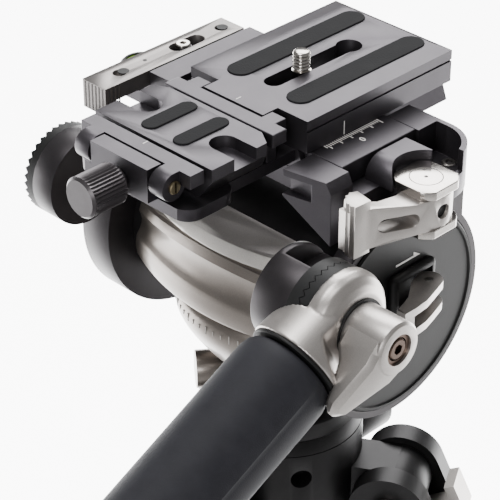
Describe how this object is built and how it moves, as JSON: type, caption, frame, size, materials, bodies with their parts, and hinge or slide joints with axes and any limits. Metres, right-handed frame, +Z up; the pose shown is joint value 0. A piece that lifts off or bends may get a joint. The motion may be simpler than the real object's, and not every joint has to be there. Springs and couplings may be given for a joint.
{
  "type": "tripod with fluid head",
  "caption": "Carbon-tube tripod carrying a fluid pan and tilt head with a sliding camera plate, a rear dovetail clamp, levers and a pan handle.",
  "frame": {"origin": "middle of the bounding box's base, on the ground between the three feet, just behind the pan axis", "axes": "+Z up, the longest extent; +X along the tilt axis towards the pan handle's side; +Y forward, the way the camera looks"},
  "size_m": [0.4888, 0.4278, 0.7064],
  "materials": {
    "black_cast": "cast and black coated",
    "black_satin": "satin black anodised",
    "chrome": "polished plating",
    "steel": "plain steel",
    "dark_anodised": "dark grey anodised, fine bead blast",
    "titanium_grey": "warm grey metallic paint",
    "silver_satin": "satin silver",
    "black_plastic": "moulded, fine grain",
    "pad_rubber": "fine texture",
    "grip_foam": "matt foam rubber",
    "level_green": "clear green vial",
    "carbon_tube": "woven carbon fibre tube, satin lacquer",
    "lock_rubber": "ribbed rubber sleeve"
  },
  "bodies": {
    "crown": {"apex": "black_cast", "leg_pivot_bolts": "chrome"},
    "column": {"centre_column": "black_satin", "ballast_hook": "steel", "head_base": "dark_anodised"},
    "pan_stage": {"body_housing": "titanium_grey", "body_cover": "silver_satin", "cover_screws": "steel"},
    "tilt_stage": {"tilt_drum": "dark_anodised", "left_cheek": "dark_anodised", "right_cheek": "dark_anodised", "right_cover": "black_plastic", "head_rosettes": "black_plastic", "platform": "dark_anodised", "cam_block": "dark_anodised", "bubble_level": "level_green"},
    "plate": {"slide_plate": "dark_anodised", "rubber_pads": "pad_rubber", "clamp_bed": "dark_anodised", "far_jaw": "dark_anodised"},
    "handle": {"handle_yoke": "silver_satin", "handle_bar": "black_plastic", "handle_grip": "grip_foam"},
    "handle_wing": {"handle_lock_lever": "silver_satin"},
    "lever": {"clamp_lever": "silver_satin", "lever_hub": "chrome"},
    "jaw": {"pressure_jaw": "dark_anodised"},
    "tilt_lock": {"tilt_lock_lever": "silver_satin"},
    "carriage": {"jaw_carriage": "dark_anodised", "near_jaw": "dark_anodised"},
    "carriage_knob": {"clamp_knob": "dark_anodised"},
    "screw_slider": {"screw_washer": "steel"},
    "screw": {"camera_screw": "chrome"},
    "latch": {"latch_bar": "silver_satin"},
    "pan_knob": {"pan_lock_knob": "titanium_grey"},
    "column_knob": {"column_lock_knob": "black_satin"},
    "leg_a": {"leg_a_shoulder": "black_cast", "leg_a_upper_tube": "carbon_tube"},
    "leg_a_stop": {"leg_a_angle_stop": "silver_satin"},
    "leg_a_twist_upper": {"leg_a_upper_lock": "lock_rubber"},
    "leg_a_middle": {"leg_a_middle_tube": "carbon_tube"},
    "leg_a_twist_lower": {"leg_a_lower_lock": "lock_rubber"},
    "leg_a_lower": {"leg_a_lower_tube": "carbon_tube", "leg_a_rubber_foot": "pad_rubber"},
    "leg_b": {"leg_b_shoulder": "black_cast", "leg_b_upper_tube": "carbon_tube"},
    "leg_b_stop": {"leg_b_angle_stop": "silver_satin"},
    "leg_b_twist_upper": {"leg_b_upper_lock": "lock_rubber"},
    "leg_b_middle": {"leg_b_middle_tube": "carbon_tube"},
    "leg_b_twist_lower": {"leg_b_lower_lock": "lock_rubber"},
    "leg_b_lower": {"leg_b_lower_tube": "carbon_tube", "leg_b_rubber_foot": "pad_rubber"},
    "leg_c": {"leg_c_shoulder": "black_cast", "leg_c_upper_tube": "carbon_tube"},
    "leg_c_stop": {"leg_c_angle_stop": "silver_satin"},
    "leg_c_twist_upper": {"leg_c_upper_lock": "lock_rubber"},
    "leg_c_middle": {"leg_c_middle_tube": "carbon_tube"},
    "leg_c_twist_lower": {"leg_c_lower_lock": "lock_rubber"},
    "leg_c_lower": {"leg_c_lower_tube": "carbon_tube", "leg_c_rubber_foot": "pad_rubber"}
  },
  "joints": [
    {"name": "pan", "type": "hinge", "parent": "column", "child": "pan_stage", "pos_m": [0, 0.06563, 0.58664], "axis": [0, 0, 1], "continuous": true},
    {"name": "tilt", "type": "hinge", "parent": "pan_stage", "child": "tilt_stage", "pos_m": [0, 0.06563, 0.62814], "axis": [1, 0, 0], "range_deg": [-70, 70]},
    {"name": "handle_swing", "type": "hinge", "parent": "tilt_stage", "child": "handle", "pos_m": [0, 0.01763, 0.65664], "axis": [1, 0, 0], "range_deg": [-80, 45]},
    {"name": "plate_slide", "type": "slide", "parent": "tilt_stage", "child": "plate", "axis": [0, 1, 0], "range_m": [-0.02, 0.02]},
    {"name": "clamp_lever_turn", "type": "hinge", "parent": "tilt_stage", "child": "lever", "pos_m": [0.061, 0.06863, 0.66564], "axis": [0, 0, 1], "range_deg": [0, 90]},
    {"name": "pressure_jaw_slide", "type": "slide", "parent": "tilt_stage", "child": "jaw", "axis": [1, 0, 0], "range_m": [0, 0.0011]},
    {"name": "leg_a_spread", "type": "hinge", "parent": "crown", "child": "leg_a", "pos_m": [0.03854, 0.08788, 0.53064], "axis": [0.5, -0.866, 0], "range_deg": [-23, 55]},
    {"name": "leg_b_spread", "type": "hinge", "parent": "crown", "child": "leg_b", "pos_m": [-0.03854, 0.08788, 0.53064], "axis": [0.5, 0.866, 0], "range_deg": [-23, 55]},
    {"name": "leg_c_spread", "type": "hinge", "parent": "crown", "child": "leg_c", "pos_m": [0, 0.02113, 0.53064], "axis": [-1, 0, 0], "range_deg": [-23, 55]},
    {"name": "leg_a_middle_slide", "type": "slide", "parent": "leg_a", "child": "leg_a_middle", "axis": [0.3384, 0.1954, -0.9205], "range_m": [0, 0.36]},
    {"name": "leg_a_lower_slide", "type": "slide", "parent": "leg_a_middle", "child": "leg_a_lower", "axis": [0.3384, 0.1954, -0.9205], "range_m": [0, 0.38]},
    {"name": "leg_b_middle_slide", "type": "slide", "parent": "leg_b", "child": "leg_b_middle", "axis": [-0.3384, 0.1954, -0.9205], "range_m": [0, 0.36]},
    {"name": "leg_b_lower_slide", "type": "slide", "parent": "leg_b_middle", "child": "leg_b_lower", "axis": [-0.3384, 0.1954, -0.9205], "range_m": [0, 0.38]},
    {"name": "leg_c_middle_slide", "type": "slide", "parent": "leg_c", "child": "leg_c_middle", "axis": [0, -0.3907, -0.9205], "range_m": [0, 0.36]},
    {"name": "leg_c_lower_slide", "type": "slide", "parent": "leg_c_middle", "child": "leg_c_lower", "axis": [0, -0.3907, -0.9205], "range_m": [0, 0.38]},
    {"name": "column_slide", "type": "slide", "parent": "crown", "child": "column", "axis": [0, 0, 1], "range_m": [0, 0.18]},
    {"name": "handle_lock_turn", "type": "hinge", "parent": "handle", "child": "handle_wing", "pos_m": [0, 0.01763, 0.65664], "axis": [1, 0, 0], "range_deg": [-30, 300]},
    {"name": "tilt_lock_turn", "type": "hinge", "parent": "tilt_stage", "child": "tilt_lock", "pos_m": [0.0618, 0.07183, 0.63914], "axis": [0, 0, 1], "range_deg": [0, 55]},
    {"name": "jaw_carriage_slide", "type": "slide", "parent": "plate", "child": "carriage", "axis": [0, -1, 0], "range_m": [0, 0.005]},
    {"name": "clamp_knob_turn", "type": "hinge", "parent": "carriage", "child": "carriage_knob", "pos_m": [0, -0.01287, 0.69064], "axis": [0, -1, 0], "range_deg": [0, 1440]},
    {"name": "screw_along_slot", "type": "slide", "parent": "plate", "child": "screw_slider", "axis": [0, 1, 0], "range_m": [-0.0125, 0.016]},
    {"name": "camera_screw_turn", "type": "hinge", "parent": "screw_slider", "child": "screw", "pos_m": [0, 0.07263, 0.69964], "axis": [0, 0, 1], "continuous": true},
    {"name": "latch_slide", "type": "slide", "parent": "tilt_stage", "child": "latch", "axis": [0, -1, 0], "range_m": [0, 0.005]},
    {"name": "pan_lock_turn", "type": "hinge", "parent": "column", "child": "pan_knob", "pos_m": [-0.01868, 0.04215, 0.57884], "axis": [-0.6225, -0.7826, 0], "range_deg": [-180, 180]},
    {"name": "column_lock_turn", "type": "hinge", "parent": "crown", "child": "column_knob", "pos_m": [0, 0.10563, 0.53564], "axis": [0, 1, 0], "range_deg": [-180, 180]},
    {"name": "leg_a_upper_lock_turn", "type": "hinge", "parent": "leg_a", "child": "leg_a_twist_upper", "pos_m": [0.1925, 0.17677, 0.11181], "axis": [0.3384, 0.1954, -0.9205], "range_deg": [0, 90]},
    {"name": "leg_a_lower_lock_turn", "type": "hinge", "parent": "leg_a_middle", "child": "leg_a_twist_lower", "pos_m": [0.20875, 0.18615, 0.06763], "axis": [0.3384, 0.1954, -0.9205], "range_deg": [0, 90]},
    {"name": "leg_a_stop_pull", "type": "slide", "parent": "leg_a", "child": "leg_a_stop", "axis": [0.7972, 0.4603, 0.3907], "range_m": [0, 0.008]},
    {"name": "leg_b_upper_lock_turn", "type": "hinge", "parent": "leg_b", "child": "leg_b_twist_upper", "pos_m": [-0.1925, 0.17677, 0.11181], "axis": [-0.3384, 0.1954, -0.9205], "range_deg": [0, 90]},
    {"name": "leg_b_lower_lock_turn", "type": "hinge", "parent": "leg_b_middle", "child": "leg_b_twist_lower", "pos_m": [-0.20875, 0.18615, 0.06763], "axis": [-0.3384, 0.1954, -0.9205], "range_deg": [0, 90]},
    {"name": "leg_b_stop_pull", "type": "slide", "parent": "leg_b", "child": "leg_b_stop", "axis": [-0.7972, 0.4603, 0.3907], "range_m": [0, 0.008]},
    {"name": "leg_c_upper_lock_turn", "type": "hinge", "parent": "leg_c", "child": "leg_c_twist_upper", "pos_m": [0, -0.15665, 0.11181], "axis": [0, -0.3907, -0.9205], "range_deg": [0, 90]},
    {"name": "leg_c_lower_lock_turn", "type": "hinge", "parent": "leg_c_middle", "child": "leg_c_twist_lower", "pos_m": [0, -0.17541, 0.06763], "axis": [0, -0.3907, -0.9205], "range_deg": [0, 90]},
    {"name": "leg_c_stop_pull", "type": "slide", "parent": "leg_c", "child": "leg_c_stop", "axis": [0, -0.9205, 0.3907], "range_m": [0, 0.008]}
  ],
  "couplings": [
    {"joint": "pressure_jaw_slide", "follows": "clamp_lever_turn", "m_per_rad": 0.00070028},
    {"joint": "jaw_carriage_slide", "follows": "clamp_knob_turn", "m_per_rad": 0.00019894}
  ]
}
